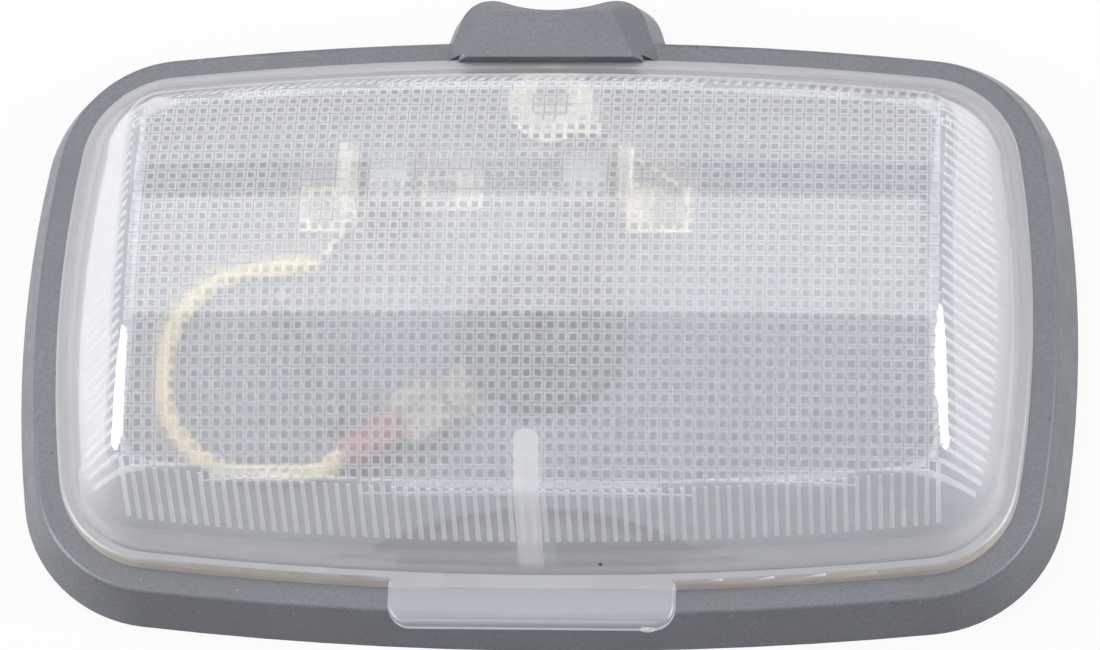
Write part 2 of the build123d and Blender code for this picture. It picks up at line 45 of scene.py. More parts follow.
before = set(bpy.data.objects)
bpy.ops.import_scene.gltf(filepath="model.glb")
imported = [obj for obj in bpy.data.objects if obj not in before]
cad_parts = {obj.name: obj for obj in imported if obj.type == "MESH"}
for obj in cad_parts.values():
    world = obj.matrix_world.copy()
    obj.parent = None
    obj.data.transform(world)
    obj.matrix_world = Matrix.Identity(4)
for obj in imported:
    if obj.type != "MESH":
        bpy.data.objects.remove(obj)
cad_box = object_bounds()
MM = 0.001

# Dark specks in the lens, and rubbed marks on its skin as (x, y, radius).
SPECKS = ((8.9 * MM, -34.4 * MM, 10.5 * MM), (59.3 * MM, -6.1 * MM, 16.5 * MM))
SPECK_RADIUS = 0.35 * MM
MARKS = (
    (-31.5 * MM, -4.8 * MM, 1.1 * MM), (-50.0 * MM, 23.8 * MM, 2.2 * MM), (50.2 * MM, 24.4 * MM, 2.2 * MM))

# How finely shapes are cut and searched for.
HALVINGS = 30
WALL_SEARCH = 1.6
WALL_ROWS = 6
FLUTE_ROWS = 6
FIN_ROWS = 40
WOBBLE_SEED = 3


class DomeLens(bpy.types.PropertyGroup):
    """Sizes of the lens that its prism cells and flutes follow."""

    half_length: FloatProperty(
        name="Half length", description="Base outline, middle to end",
        default=67.2 * MM, unit="LENGTH")
    half_width: FloatProperty(
        name="Half width", description="Base outline, middle to long side",
        default=40.1 * MM, unit="LENGTH")
    side_radius: FloatProperty(
        name="End bow", description="Radius of the bowed ends",
        default=157.0 * MM, unit="LENGTH")
    long_radius: FloatProperty(
        name="Long side bow", description="Radius of the bowed long sides",
        default=482.0 * MM, unit="LENGTH")
    corner_radius: FloatProperty(
        name="Corner", description="Radius of the outline's corners",
        default=16.2 * MM, unit="LENGTH")
    wall_foot: FloatProperty(
        name="Wall foot", description="Outline to the foot of the leaning wall",
        default=4.7 * MM, unit="LENGTH")
    ledge_z: FloatProperty(
        name="Ledge height", description="Top of the lens ledge over the back plane",
        default=8.8 * MM, unit="LENGTH")
    lean: FloatProperty(
        name="Wall lean", description="Way in for each unit of height",
        default=0.4925)
    crown_z: FloatProperty(
        name="Crown height", description="Top of the crown over the back plane",
        default=29.3 * MM, unit="LENGTH")
    crown_across: FloatProperty(
        name="Crown across", description="Radius of the crown over the width",
        default=60.6 * MM, unit="LENGTH")
    crown_along: FloatProperty(
        name="Crown along", description="Radius of the crown over the length",
        default=1.2, unit="LENGTH")
    columns: IntProperty(
        name="Columns", description="Prism cells along the lamp",
        default=73, min=1)
    rows: IntProperty(
        name="Rows", description="Prism cells across the lamp",
        default=38, min=1)
    column_pitch: FloatProperty(
        name="Column pitch", description="From one column to the next",
        default=1.465 * MM, unit="LENGTH")
    row_pitch: FloatProperty(
        name="Row pitch", description="From one row to the next",
        default=1.50 * MM, unit="LENGTH")
    cell_gap: FloatProperty(
        name="Cell gap", description="Between neighbouring cells",
        default=0.25 * MM, unit="LENGTH")
    cell_bar: FloatProperty(
        name="Cell edge", description="Width of a cell's white edge",
        default=0.18 * MM, unit="LENGTH")
    cell_depth: FloatProperty(
        name="Cell depth", description="Depth of a cell's edge",
        default=0.15 * MM, unit="LENGTH")
    cell_wobble: FloatProperty(
        name="Cell wobble", description="Unevenness of the cells",
        default=0.05 * MM, unit="LENGTH")
    pattern_depth: FloatProperty(
        name="Pattern depth", description="Skin to the prism cells",
        default=0.9 * MM, unit="LENGTH")
    flute_width: FloatProperty(
        name="Flute width", description="Width of a flute at its foot",
        default=0.62 * MM, unit="LENGTH")
    flute_foot_z: FloatProperty(
        name="Flute foot", description="Lower end of the flutes over the back plane",
        default=13.0 * MM, unit="LENGTH")
    flute_shortest: FloatProperty(
        name="Shortest flute", description="Shorter flutes are left out",
        default=2.0 * MM, unit="LENGTH")
    flute_longest: FloatProperty(
        name="Longest flute", description="Longer flutes are left out",
        default=8.0 * MM, unit="LENGTH")
    fin_width: FloatProperty(
        name="Fin width", description="Width of the fin's root",
        default=3.2 * MM, unit="LENGTH")
    fin_reach: FloatProperty(
        name="Fin reach", description="Middle of the lamp to the inner end of the fin",
        default=21.1 * MM, unit="LENGTH")
    fin_foot_z: FloatProperty(
        name="Fin foot", description="Lower end of the fin over the back plane",
        default=9.6 * MM, unit="LENGTH")
    flash_place: FloatVectorProperty(
        name="Flash place", description="Lump of moulding flash on the tab's edge",
        default=(15.0 * MM, -42.2 * MM, 7.6 * MM), unit="LENGTH")
    flash_size: FloatVectorProperty(
        name="Flash size", description="Half of the flash's length, width and height",
        default=(1.0 * MM, 0.35 * MM, 0.35 * MM), unit="LENGTH")
    lining_foot_z: FloatProperty(
        name="Lining foot", description="Lower end of the walls' frosting",
        default=9.4 * MM, unit="LENGTH")
    lining_steps: IntProperty(
        name="Lining steps", description="Facets of the walls' frosting",
        default=240, min=8)
    haze: FloatProperty(
        name="Haze", description="Milkiness of the clear part",
        default=0.23, min=0, max=1)


class DomeClearness(bpy.types.PropertyGroup):
    """Share of light that goes straight through each part of the pattern."""

    edge: FloatProperty(
        name="Cell edges", description="White edges of the cells",
        default=0.36, min=0, max=1)
    seam: FloatProperty(
        name="Cell seams", description="Seams between the cells",
        default=0.6, min=0, max=1)
    face: FloatProperty(
        name="Cell faces", description="Faces inside the edges",
        default=0.8, min=0, max=1)
    flute: FloatProperty(
        name="Flutes", description="Flutes of the long walls",
        default=0.28, min=0, max=1)
    end_flute: FloatProperty(
        name="End flutes", description="Flutes of the end walls",
        default=0.4, min=0, max=1)
    wall: FloatProperty(
        name="Walls", description="Frosting of the walls",
        default=0.5, min=0, max=1)
    fin: FloatProperty(
        name="Fin", description="Root of the fin, and the flash on the tab",
        default=0.25, min=0, max=1)


class DomeColours(bpy.types.PropertyGroup):
    """Colours of the lamp's materials."""

    housing: FloatVectorProperty(
        name="Housing", description="Grey moulded base",
        default=(0.149, 0.158, 0.181), subtype="COLOR", min=0, max=1)
    lens: FloatVectorProperty(
        name="Lens", description="Milky lens",
        default=(0.945, 0.94, 0.97), subtype="COLOR", min=0, max=1)
    prism: FloatVectorProperty(
        name="Prism edges", description="White edges of the cells",
        default=(0.97, 0.97, 0.98), subtype="COLOR", min=0, max=1)
    seam: FloatVectorProperty(
        name="Prism seams", description="Seams between the cells",
        default=(0.66, 0.67, 0.72), subtype="COLOR", min=0, max=1)
    frost: FloatVectorProperty(
        name="Frosted faces", description="Faces inside the prism edges",
        default=(0.64, 0.66, 0.74), subtype="COLOR", min=0, max=1)
    brass: FloatVectorProperty(
        name="Brass", description="Contacts and eyelet",
        default=(0.72, 0.65, 0.52), subtype="COLOR", min=0, max=1)
    sheath: FloatVectorProperty(
        name="Wire sheath", description="Feed wire",
        default=(1.0, 0.80, 0.40), subtype="COLOR", min=0, max=1)
    sleeve: FloatVectorProperty(
        name="Sleeve", description="Terminal sleeve",
        default=(0.36, 0.10, 0.12), subtype="COLOR", min=0, max=1)
    rubber: FloatVectorProperty(
        name="Rubber", description="Cable grommet",
        default=(0.055, 0.062, 0.078), subtype="COLOR", min=0, max=1)


class DomeStage(bpy.types.PropertyGroup):
    """Camera and studio light."""

    camera_place: FloatVectorProperty(
        name="Camera place", description="Camera in the lamp's frame",
        default=(0.0557, -0.2269, 0.6121), unit="LENGTH")
    camera_turn: FloatVectorProperty(
        name="Camera turn", description="Camera rotation", subtype="EULER",
        default=(math.radians(20.6), math.radians(4.44), math.radians(1.94)))
    camera_lens: FloatProperty(
        name="Lens", description="Focal length in millimetres",
        default=162.0)
    overhead: FloatProperty(
        name="Overhead box", description="Brightness of the overhead softbox",
        default=2.45)
    window_card: FloatProperty(
        name="Window card", description="Brightness of the card overhead, seen in the gloss",
        default=2.0)
    back_card: FloatProperty(
        name="Back card", description="Brightness of the card behind, seen in the gloss",
        default=1.0)
    front_fill: FloatProperty(
        name="Front fill", description="Brightness of the soft light in front",
        default=0.6)
    end_fill: FloatProperty(
        name="End fill", description="Brightness of the soft lights at both ends",
        default=6.0)
    end_card: FloatProperty(
        name="End cards", description="Brightness of the cards at both ends, seen in the gloss",
        default=8.0)
    ambient: FloatProperty(
        name="Room", description="Brightness of the room",
        default=0.20)


def crown_at(lens, x, y, depth):
    """Height of the crown, or of the surface that lies depth below it."""
    across = lens.crown_across - depth
    rise = across - math.sqrt(max(across * across - y * y, 0.0))
    return lens.crown_z - depth - rise - x * x / (2 * lens.crown_along)


def corner_centre(lens):
    """Centre of the outline's corner arc in the positive quarter."""
    side = Vector((lens.half_length - lens.side_radius, 0))
    long = Vector((0, lens.half_width - lens.long_radius))
    reach_side = lens.side_radius - lens.corner_radius
    reach_long = lens.long_radius - lens.corner_radius
    span = (long - side).length
    along = (reach_side**2 - reach_long**2 + span**2) / (2 * span)
    across = math.sqrt(reach_side**2 - along**2)
    unit = (long - side) / span
    return side + unit * along + Vector((-unit.y, unit.x)) * across


def outline_inset(lens, x, y):
    """Distance of a plan point from the base outline, measured inwards."""
    x, y = abs(x), abs(y)
    side = Vector((lens.half_length - lens.side_radius, 0))
    long = Vector((0, lens.half_width - lens.long_radius))
    corner = corner_centre(lens)
    point = Vector((x, y))
    above_side = (corner - side).cross(point - side)
    left_of_long = (corner - long).cross(point - long)
    if above_side > 0 and left_of_long < 0:
        return lens.corner_radius - (point - corner).length
    by_side = lens.side_radius - (point - side).length
    by_long = lens.long_radius - (point - long).length
    return min(by_side, by_long)


def skin_at(lens, x, y, depth):
    """Height of the lens skin over a plan point: crown, or wall where that is lower."""
    crown = crown_at(lens, x, y, depth)
    inset = outline_inset(lens, x, y) - lens.wall_foot - depth * math.hypot(1, lens.lean)
    return min(crown, lens.ledge_z + inset / lens.lean)


def is_on_crown(lens, x, y, depth):
    """True where the crown, and not the wall, is the skin."""
    inset = outline_inset(lens, x, y) - lens.wall_foot - depth * math.hypot(1, lens.lean)
    return lens.ledge_z + inset / lens.lean > crown_at(lens, x, y, depth)


def new_piece(name, mesh_data, materials, body):
    """Object at the origin from a finished bmesh, riding on a body."""
    mesh = bpy.data.meshes.new(name)
    mesh_data.to_mesh(mesh)
    mesh_data.free()
    piece = bpy.data.objects.new(name, mesh)
    bpy.context.scene.collection.objects.link(piece)
    for material in materials:
        mesh.materials.append(material)
    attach(piece, body)
    return piece


def dress(node, material):
    """Gives a CAD node its material."""
    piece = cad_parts[node]
    piece.data.materials.clear()
    piece.data.materials.append(material)


class Finish:
    """A Principled material and the nodes that give it detail."""

    def __init__(self, name, colour, roughness, metallic=0.0):
        self.material = bpy.data.materials.new(name)
        self.material.use_nodes = True
        self.tree = self.material.node_tree
        self.shader = self.tree.nodes["Principled BSDF"]
        self.colour = tuple(colour)
        self.shader.inputs["Base Color"].default_value = (*self.colour, 1)
        self.shader.inputs["Roughness"].default_value = roughness
        self.shader.inputs["Metallic"].default_value = metallic
        self.coords = self.tree.nodes.new("ShaderNodeTexCoord").outputs["Object"]

    def node(self, kind, **values):
        """New node with its inputs set by name."""
        made = self.tree.nodes.new(kind)
        for key, value in values.items():
            made.inputs[key].default_value = value
        return made

    def link(self, source, target):
        """Joins an output to an input."""
        self.tree.links.new(source, target)

    def noise(self, scale, detail=4.0, stretch=(1, 1, 1)):
        """Noise on object coordinates, stretched along chosen axes."""
        mapping = self.tree.nodes.new("ShaderNodeMapping")
        mapping.inputs["Scale"].default_value = stretch
        self.link(self.coords, mapping.inputs["Vector"])
        noise = self.node("ShaderNodeTexNoise", Scale=scale, Detail=detail)
        self.link(mapping.outputs["Vector"], noise.inputs["Vector"])
        return noise.outputs["Fac"]

    def range(self, source, low, high, to_low, to_high):
        """Maps a value from one range to another, held at the ends."""
        mapped = self.tree.nodes.new("ShaderNodeMapRange")
        names = ("From Min", "From Max", "To Min", "To Max")
        for name, value in zip(names, (low, high, to_low, to_high)):
            mapped.inputs[name].default_value = value
        self.link(source, mapped.inputs["Value"])
        return mapped.outputs["Result"]

    def tint(self, base, factor, colour):
        """Lays a colour over a colour socket, or over the material's own colour."""
        mix = self.tree.nodes.new("ShaderNodeMix")
        mix.data_type = "RGBA"
        if base is None:
            mix.inputs["A"].default_value = (*self.colour, 1)
        else:
            self.link(base, mix.inputs["A"])
        mix.inputs["B"].default_value = (*colour, 1)
        self.link(factor, mix.inputs["Factor"])
        return mix.outputs["Result"]

    def blend(self, factor, first, second):
        """Mix of two shaders; the factor is a number or a socket."""
        mix = self.tree.nodes.new("ShaderNodeMixShader")
        if isinstance(factor, float):
            mix.inputs["Fac"].default_value = factor
        else:
            self.link(factor, mix.inputs["Fac"])
        self.link(first.outputs[0], mix.inputs[1])
        self.link(second.outputs[0], mix.inputs[2])
        return mix

    def clear(self, colour=(1, 1, 1)):
        """Shader that lets light straight through."""
        shader = self.tree.nodes.new("ShaderNodeBsdfTransparent")
        shader.inputs["Color"].default_value = (*colour, 1)
        return shader

    def milk(self, paint, glow):
        """Diffuse body that a share of the light passes through."""
        self.link(paint, self.shader.inputs["Base Color"])
        self.shader.inputs["Specular IOR Level"].default_value = 0.0
        lit = self.node("ShaderNodeBsdfTranslucent")
        self.link(paint, lit.inputs["Color"])
        return self.blend(glow, self.shader, lit)

    def skin(self, shader, pass_colour):
        """Shows a shader on outer faces, and lets lamps shine through to the inside."""
        path = self.tree.nodes.new("ShaderNodeLightPath")
        side = self.tree.nodes.new("ShaderNodeNewGeometry")
        lit = self.blend(path.outputs["Is Shadow Ray"], shader, self.clear(pass_colour))
        self.show(self.blend(side.outputs["Backfacing"], lit, self.clear()))

    def near(self, place, radius, most):
        """Value that falls from most at a place to nothing at a radius from it."""
        away = self.tree.nodes.new("ShaderNodeVectorMath")
        away.operation = "DISTANCE"
        self.link(self.coords, away.inputs[0])
        away.inputs[1].default_value = place
        return self.range(away.outputs["Value"], radius * 0.6, radius, most, 0.0)

    def maths(self, operation, first, second):
        """Joins two values."""
        both = self.tree.nodes.new("ShaderNodeMath")
        both.operation = operation
        self.link(first, both.inputs[0])
        self.link(second, both.inputs[1])
        return both.outputs["Value"]

    def line(self, source, middle, half_width, most):
        """Value that is most where a coordinate lies near a middle, else nothing."""
        near = self.tree.nodes.new("ShaderNodeMath")
        near.operation = "COMPARE"
        self.link(source, near.inputs[0])
        near.inputs[1].default_value = middle
        near.inputs[2].default_value = half_width
        return self.range(near.outputs["Value"], 0.0, 1.0, 0.0, most)

    def show(self, shader):
        """Makes a shader the material's surface."""
        self.link(shader.outputs[0], self.tree.nodes["Material Output"].inputs["Surface"])

    def paint(self, socket):
        """Colours the material from a socket."""
        self.link(socket, self.shader.inputs["Base Color"])

    def rough(self, socket):
        """Takes the material's roughness from a socket."""
        self.link(socket, self.shader.inputs["Roughness"])

    def bump(self, height, strength, distance):
        """Bump from a height, on top of any bump already there."""
        bump = self.node("ShaderNodeBump", Strength=strength, Distance=distance)
        self.link(height, bump.inputs["Height"])
        normal = self.shader.inputs["Normal"]
        if normal.links:
            self.link(normal.links[0].from_socket, bump.inputs["Normal"])
        self.link(bump.outputs["Normal"], normal)


def shade(colour, factor):
    """Colour made lighter or darker."""
    return tuple(min(1.0, channel * factor) for channel in colour)


def housing_finish(colour):
    """Grey moulded plastic: fine grain, faint cloudy tone, dark specks, hair scratches."""
    finish = Finish("moulded_grey", colour, 0.4)
    cloud = finish.range(finish.noise(90, 5), 0.35, 0.65, 0.0, 1.0)
    paint = finish.tint(None, cloud, shade(colour, 1.14))
    grain = finish.range(finish.noise(2400, 2), 0.35, 0.65, 0.0, 0.8)
    paint = finish.tint(paint, grain, shade(colour, 0.84))
    speck = finish.range(finish.noise(900, 1), 0.76, 0.80, 0.0, 0.75)
    paint = finish.tint(paint, speck, shade(colour, 0.40))
    dust = finish.range(finish.noise(1500, 0), 0.86, 0.89, 0.0, 0.35)
    paint = finish.tint(paint, dust, (0.62, 0.62, 0.60))
    scratch = finish.range(finish.noise(260, 2, (0.15, 6.0, 1.0)), 0.72, 0.78, 0.0, 0.35)
    paint = finish.tint(paint, scratch, shade(colour, 1.5))
    finish.paint(paint)
    finish.rough(finish.range(finish.noise(300, 3), 0.3, 0.7, 0.34, 0.48))
    finish.bump(finish.noise(2600, 2), 0.22, 0.00006)
    return finish.material


def milky_finish(colour, lens):
    """Translucent milky plastic: haze over a clear body, denser below the flutes, polished skin; painted
    shade on the ledge and in the tab's groove, and a painted cream glow on the front rim's edge.
    """
    rim_glow_cream, cool_white, painted_groove_shade_grey, speck_black = (
        (0.94, 0.82, 0.70), (0.76, 0.80, 0.90), (0.50, 0.55, 0.62), (0.03, 0.03, 0.03))
    low_haze, tab_share, slant_haze, mark_haze = 0.62, 0.55, 0.9, 0.42
    rim_roughness, skin_roughness = 0.35, 0.05
    finish = Finish("milky_lens", colour, 0.5)
    axes = finish.tree.nodes.new("ShaderNodeSeparateXYZ")
    finish.link(finish.coords, axes.inputs["Vector"])
    across, height = axes.outputs["Y"], axes.outputs["Z"]
    cloud = finish.range(finish.noise(70, 4), 0.3, 0.7, 0.0, 1.0)
    paint = finish.tint(None, cloud, shade(colour, 0.95))
    # Painted shade: the ledge and everything below it darkened, fading out between 0.2 and 0.8 mm above
    # the ledge top.
    ledge = finish.range(height, lens.ledge_z + 0.2 * MM, lens.ledge_z + 0.8 * MM, 1.0, 0.0)
    paint = finish.tint(paint, ledge, shade(colour, 0.84))
    # Painted light: a cream glow for light scattered through the rim's edge, on the front part below the
    # ledge top.
    rim_glow = finish.range(height, lens.ledge_z - 0.3 * MM, lens.ledge_z - 0.05 * MM, 1.0, 0.0)
    in_front = finish.range(across, -0.75 * lens.half_width, -0.6 * lens.half_width, 1.0, 0.0)
    paint = finish.tint(paint, finish.maths("MULTIPLY", rim_glow, in_front), rim_glow_cream)
    tab = finish.range(across, 2.8 * MM - lens.half_width, 3.0 * MM - lens.half_width, 1.0, 0.0)
    paint = finish.tint(paint, tab, cool_white)
    # Painted shade: a grey line in the groove near the tab's lower edge.
    painted_groove_shade = finish.line(across, -lens.half_width - 1.15 * MM, 0.13 * MM, 0.6)
    paint = finish.tint(paint, painted_groove_shade, painted_groove_shade_grey)
    for place in SPECKS:
        paint = finish.tint(paint, finish.near(place, SPECK_RADIUS, 1.0), speck_black)
    haze = finish.milk(paint, 0.4)
    foot = lens.flute_foot_z
    dense = finish.range(height, foot - 2 * MM, foot, low_haze, lens.haze)
    dense = finish.maths("MULTIPLY", dense, finish.range(tab, 0.0, 1.0, 1.0, tab_share))
    facing = finish.node("ShaderNodeLayerWeight", Blend=0.5).outputs["Facing"]
    dense = finish.maths("MAXIMUM", dense, finish.range(facing, 0.40, 0.90, lens.haze, slant_haze))
    for x, y, radius in MARKS:
        place = (x, y, skin_at(lens, x, y, 0))
        dense = finish.maths("MAXIMUM", dense, finish.near(place, radius, mark_haze))
    body = finish.blend(dense, finish.clear((0.96, 0.98, 1.0)), haze)
    gloss = finish.node("ShaderNodeBsdfAnisotropic")
    dulled = finish.range(height, lens.ledge_z, lens.ledge_z + 1 * MM, rim_roughness, skin_roughness)
    finish.link(dulled, gloss.inputs["Roughness"])
    fresnel = finish.node("ShaderNodeFresnel", IOR=1.8)
    finish.skin(finish.blend(fresnel.outputs["Fac"], body, gloss), (0.98, 0.98, 0.98))
    return finish.material


def prism_finish(name, colour, clearness, blurs=False):
    """Frosted plastic of the pattern; where it blurs, things behind it look soft."""
    finish = Finish(name, colour, 0.5)
    cloud = finish.range(finish.noise(300, 3), 0.3, 0.7, 0.0, 1.0)
    paint = finish.tint(None, cloud, shade(colour, 0.94))
    body = finish.milk(paint, 0.3)
    if blurs:
        through = finish.node("ShaderNodeBsdfRefraction", IOR=1.1, Roughness=0.65)
    else:
        through = finish.clear()
    finish.skin(finish.blend(clearness, body, through), (0.97, 0.97, 0.98))
    return finish.material


def brass_finish(colour):
    """Stamped brass with dull patches and drawing lines."""
    finish = Finish("stamped_brass", colour, 0.5, 1.0)
    dull = finish.range(finish.noise(400, 5), 0.4, 0.7, 0.0, 0.8)
    finish.paint(finish.tint(None, dull, shade(colour, 0.55)))
    finish.rough(finish.range(finish.noise(700, 4), 0.3, 0.7, 0.42, 0.62))
    finish.bump(finish.noise(1500, 2, (0.1, 1.0, 1.0)), 0.15, 0.00005)
    return finish.material


def metal_finish(name, colour, roughness):
    """Plated or drawn metal with faint wear."""
    finish = Finish(name, colour, roughness, 1.0)
    wear = finish.range(finish.noise(800, 4), 0.45, 0.75, 0.0, 0.7)
    finish.paint(finish.tint(None, wear, shade(colour, 0.6)))
    finish.rough(finish.range(finish.noise(900, 3), 0.3, 0.7, roughness * 0.8, roughness * 1.4))
    return finish.material


def glass_finish():
    """Clear bulb glass with a breath of haze."""
    finish = Finish("bulb_glass", (0.97, 0.98, 0.98), 0.02)
    haze = finish.range(finish.noise(300, 3), 0.45, 0.8, 0.0, 0.5)
    finish.paint(finish.tint(None, haze, (0.84, 0.85, 0.84)))
    finish.shader.inputs["Transmission Weight"].default_value = 1.0
    path = finish.tree.nodes.new("ShaderNodeLightPath")
    finish.show(finish.blend(path.outputs["Is Shadow Ray"], finish.shader, finish.clear()))
    return finish.material


def soft_finish(name, colour, roughness, dirt):
    """PVC or rubber: soft tone, dusty patches, fine grain."""
    finish = Finish(name, colour, roughness)
    cloud = finish.range(finish.noise(500, 4), 0.35, 0.7, 0.0, 1.0)
    paint = finish.tint(None, cloud, shade(colour, 0.8))
    dust = finish.range(finish.noise(1300, 5), 0.55, 0.8, 0.0, dirt)
    finish.paint(finish.tint(paint, dust, (0.45, 0.42, 0.38)))
    worn = finish.range(finish.noise(900, 3), 0.3, 0.7, roughness * 0.85, roughness * 1.2)
    finish.rough(worn)
    finish.bump(finish.noise(2200, 2), 0.2, 0.00005)
    return finish.material


def crown_sheet(lens, depth):
    """Sheet under the crown with one face for each prism cell."""
    mesh = bmesh.new()
    bmesh.ops.create_grid(mesh, x_segments=lens.columns, y_segments=lens.rows, size=0.5)
    size = (lens.columns * lens.column_pitch, lens.rows * lens.row_pitch, 1)
    bmesh.ops.scale(mesh, vec=size, verts=mesh.verts)
    outside = []
    for face in mesh.faces:
        middle = face.calc_center_median()
        if not is_on_crown(lens, middle.x, middle.y, depth):
            outside.append(face)
    bmesh.ops.delete(mesh, geom=outside, context="FACES")
    wobble = random.Random(WOBBLE_SEED)
    for vert in mesh.verts:
        vert.co.x += wobble.uniform(-1, 1) * lens.cell_wobble
        vert.co.y += wobble.uniform(-1, 1) * lens.cell_wobble
        vert.co.z = skin_at(lens, vert.co.x, vert.co.y, depth)
    return mesh


def turning_point(low, high, is_inside):
    """Last value from low to high for which a test still holds."""
    for _ in range(HALVINGS):
        middle = (low + high) / 2
        if is_inside(middle):
            low = middle
        else:
            high = middle
    return low


def add_strip(mesh, lens, depth, place, width_at, top, foot, rows):
    """Strip of skin from one reach to another; place turns (across, out) into a plan point."""
    made = bmesh.ops.create_grid(mesh, x_segments=1, y_segments=rows, size=0.5)
    for vert in made["verts"]:
        share = 0.5 - vert.co.y
        x, y = place(vert.co.x * width_at(share), top + (foot - top) * share)
        vert.co = (x, y, skin_at(lens, x, y, depth))


def flute_places(lens):
    """Ways to place a strip, one for each flute: along both long sides and both ends."""
    places = []
    for side in (-1, 1):
        for step in range(lens.columns + 3):
            x = (step - lens.columns / 2 - 1) * lens.column_pitch
            places.append(lambda across, out, x=x, side=side: (x + across, side * out))
        for step in range(lens.rows + 1):
            y = (step - lens.rows / 2) * lens.row_pitch
            places.append(lambda across, out, y=y, side=side: (side * out, y + across))
    return places


def flute_strips(lens, depth):
    """Strips down the walls from the crease to the flutes' foot."""
    mesh = bmesh.new()

    top_width = 0.8

    def width_at(share):
        return lens.flute_width * (top_width + (1 - top_width) * share)

    for place in flute_places(lens):
        if not is_on_crown(lens, *place(0, 0), depth):
            continue

        def is_inside(out):
            return is_on_crown(lens, *place(0, out), depth)

        def is_above_foot(out):
            return skin_at(lens, *place(0, out), depth) > lens.flute_foot_z

        crease = turning_point(0, lens.half_length, is_inside)
        foot = turning_point(0, lens.half_length, is_above_foot)
        if lens.flute_shortest < foot - crease < lens.flute_longest:
            add_strip(mesh, lens, depth, place, width_at, crease, foot, FLUTE_ROWS)
    for face in mesh.faces:
        middle = face.calc_center_median()
        face.material_index = int(abs(middle.x) / lens.half_length > abs(middle.y) / lens.half_width)
    return mesh


def wall_sheet(lens, depth):
    """Sheet under the walls, all the way round, from the crease down to the lining's foot."""
    mesh = bmesh.new()
    bmesh.ops.create_grid(mesh, x_segments=lens.lining_steps, y_segments=WALL_ROWS, size=0.5)
    spans = {}
    for vert in mesh.verts:
        turn = 2 * math.pi * (vert.co.x + 0.5)
        step = round(lens.lining_steps * (vert.co.x + 0.5)) % lens.lining_steps

        def place(reach):
            return reach * lens.half_length * math.cos(turn), reach * lens.half_width * math.sin(turn)

        def is_inside(reach):
            return is_on_crown(lens, *place(reach), depth)

        def is_above_foot(reach):
            return skin_at(lens, *place(reach), depth) > lens.lining_foot_z

        if step not in spans:
            crease = turning_point(0, WALL_SEARCH, is_inside)
            spans[step] = (crease, turning_point(0, WALL_SEARCH, is_above_foot))
        crease, foot = spans[step]
        top = crease - lens.column_pitch / lens.half_length
        x, y = place(top + (foot - top) * (0.5 - vert.co.y))
        vert.co = (x, y, skin_at(lens, x, y, depth))
    bmesh.ops.remove_doubles(mesh, verts=mesh.verts, dist=0.001 * MM)
    for face in mesh.faces:
        face.smooth = True
    return mesh


def thicken(mesh, thickness):
    """Gives a sheet some depth and turns its faces outwards."""
    bmesh.ops.solidify(mesh, geom=list(mesh.faces), thickness=thickness)
    bmesh.ops.recalc_face_normals(mesh, faces=mesh.faces)


class DOME_OT_housing(bpy.types.Operator):
    """Gives the base its moulded grey finish"""

    bl_idname = "dome.housing"
    bl_label = "Housing"

    def execute(self, context):
        dress("base_housing", housing_finish(context.scene.dome_colours.housing))
        return {"FINISHED"}


class DOME_OT_lens_shell(bpy.types.Operator):
    """Gives the lens its milky finish"""

    bl_idname = "dome.lens_shell"
    bl_label = "Lens shell"

    def execute(self, context):
        scene = context.scene
        lens = scene.dome_lens
        dress("lens", milky_finish(scene.dome_colours.lens, lens))
        return {"FINISHED"}


class DOME_OT_prism_cells(bpy.types.Operator):
    """Builds the white edges of the prism cells under the crown"""

    bl_idname = "dome.prism_cells"
    bl_label = "Prism cells"

    def execute(self, context):
        scene = context.scene
        lens = scene.dome_lens
        mesh = crown_sheet(lens, lens.pattern_depth)
        cells = list(mesh.faces)
        gaps = bmesh.ops.inset_individual(
            mesh, faces=cells, thickness=lens.cell_gap / 2, use_even_offset=True)
        bmesh.ops.delete(mesh, geom=gaps["faces"], context="FACES")
        bmesh.ops.inset_individual(mesh, faces=cells, thickness=lens.cell_bar, use_even_offset=True)
        bmesh.ops.delete(mesh, geom=cells, context="FACES")
        thicken(mesh, lens.cell_depth)
        edge = prism_finish("prism_edge", scene.dome_colours.prism, scene.dome_clearness.edge)
        new_piece("prism_cells", mesh, [edge], "lens_body")
        return {"FINISHED"}


class DOME_OT_wall_flutes(bpy.types.Operator):
    """Builds the flutes that run down the lens walls from the crown"""

    bl_idname = "dome.wall_flutes"
    bl_label = "Wall flutes"

    def execute(self, context):
        scene = context.scene
        lens = scene.dome_lens
        mesh = flute_strips(lens, lens.pattern_depth)
        thicken(mesh, lens.cell_depth)
        flute = prism_finish("flute", scene.dome_colours.prism, scene.dome_clearness.flute)
        faint = prism_finish("end_flute", scene.dome_colours.prism, scene.dome_clearness.end_flute)
        new_piece("wall_flutes", mesh, [flute, faint], "lens_body")
        return {"FINISHED"}


class DOME_OT_frosted_lining(bpy.types.Operator):
    """Builds the frosted plastic between and inside the cells"""

    bl_idname = "dome.frosted_lining"
    bl_label = "Frosted lining"

    def execute(self, context):
        lens = context.scene.dome_lens
        colours = context.scene.dome_colours
        clearness = context.scene.dome_clearness
        mesh = crown_sheet(lens, lens.pattern_depth + 1.5 * lens.cell_depth)
        cells = list(mesh.faces)
        border = lens.cell_gap / 2 + lens.cell_bar
        bmesh.ops.inset_individual(mesh, faces=cells, thickness=border, use_even_offset=True)
        for face in cells:
            face.material_index = 1
        thicken(mesh, lens.cell_depth / 3)
        seam = prism_finish("prism_seam", colours.seam, clearness.seam)
        frost = prism_finish("prism_face", colours.frost, clearness.face, blurs=True)
        new_piece("crown_lining", mesh, [seam, frost], "lens_body")
        walls = wall_sheet(lens, lens.pattern_depth + 2.5 * lens.cell_depth)
        thicken(walls, lens.cell_depth / 3)
        wall_frost = prism_finish("wall_frost", colours.seam, clearness.wall)
        new_piece("wall_lining", walls, [wall_frost], "lens_body")
        return {"FINISHED"}


